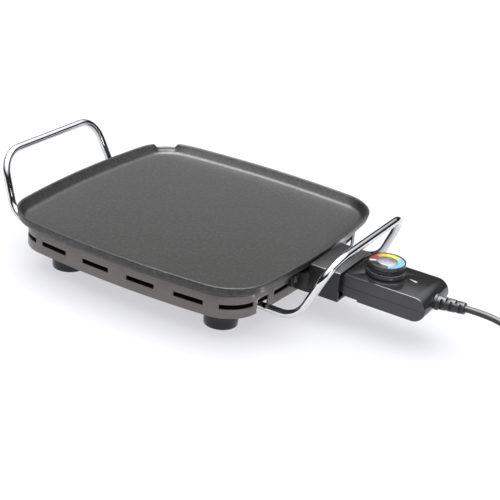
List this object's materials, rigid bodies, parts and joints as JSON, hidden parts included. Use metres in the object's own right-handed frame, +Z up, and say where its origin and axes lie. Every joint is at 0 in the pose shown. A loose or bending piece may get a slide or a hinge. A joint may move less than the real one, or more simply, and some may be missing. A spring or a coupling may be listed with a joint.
{
  "type": "electric griddle",
  "caption": "Square electric table griddle: non-stick tray on a slotted skirt, two chromed wire handles, and a plug-in thermostat controller with a colour dial and cord.",
  "frame": {"origin": "on the surface that the feet stand on, under the middle of the griddle with its handles and controller, the free cord left out", "axes": "+X towards the controller and its cord, +Y towards the side with the pouring notch, +Z up"},
  "size_m": [0.7144, 0.3, 0.094],
  "materials": {
    "nonstick": "fine speckled non-stick coating, satin",
    "skirt_paint": "grey-brown metallic enamel, satin",
    "pan_black": "matt heat-resistant black",
    "element_steel": "dull steel sheath",
    "chrome": "polished",
    "bakelite": "moulded, glossy",
    "satin_black": "fine moulded texture, satin",
    "gloss_black": "polished top face",
    "knob_black": "moulded, glossy",
    "dial_print": "printed colour scale",
    "silver_cap": "satin",
    "zinc_steel": "bright zinc",
    "brass": "plain",
    "cord_rubber": "matte",
    "tie": "matte",
    "nickel": "nickel plated"
  },
  "bodies": {
    "base": {"griddle_plate": "nonstick", "heating_element": "element_steel", "skirt": "skirt_paint", "base_pan": "pan_black", "handle_left": "chrome", "handle_right": "chrome", "foot_1": "bakelite", "foot_2": "bakelite", "foot_3": "bakelite", "foot_4": "bakelite", "foot_screws": "zinc_steel", "socket_shroud": "satin_black", "shroud_screws": "zinc_steel", "earth_blade": "zinc_steel"},
    "controller": {"case_upper": "gloss_black", "case_lower": "satin_black", "case_screws": "zinc_steel", "nose_block": "bakelite", "contact_sleeves": "brass", "sensor_tube": "chrome", "thermostat_frame": "zinc_steel", "spindle_bush": "brass", "bimetal_strip": "brass", "switch_contacts": "brass", "strain_relief": "cord_rubber", "power_cord": "cord_rubber", "cord_coil": "cord_rubber", "cord_tie": "tie", "cord_tail": "cord_rubber", "plug_body": "cord_rubber", "plug_pins": "nickel", "plug_earth_clips": "nickel"},
    "dial": {"knob": "knob_black", "dial_disc": "dial_print", "knob_cap": "silver_cap", "knob_spindle": "zinc_steel"}
  },
  "joints": [
    {"name": "controller_pull", "type": "slide", "parent": "base", "child": "controller", "axis": [1, 0, 0], "range_m": [0, 0.1]},
    {"name": "dial_turn", "type": "hinge", "parent": "controller", "child": "dial", "pos_m": [0.17955, 0, 0.0599], "axis": [0, 0, 1], "range_deg": [-200, 100]}
  ]
}
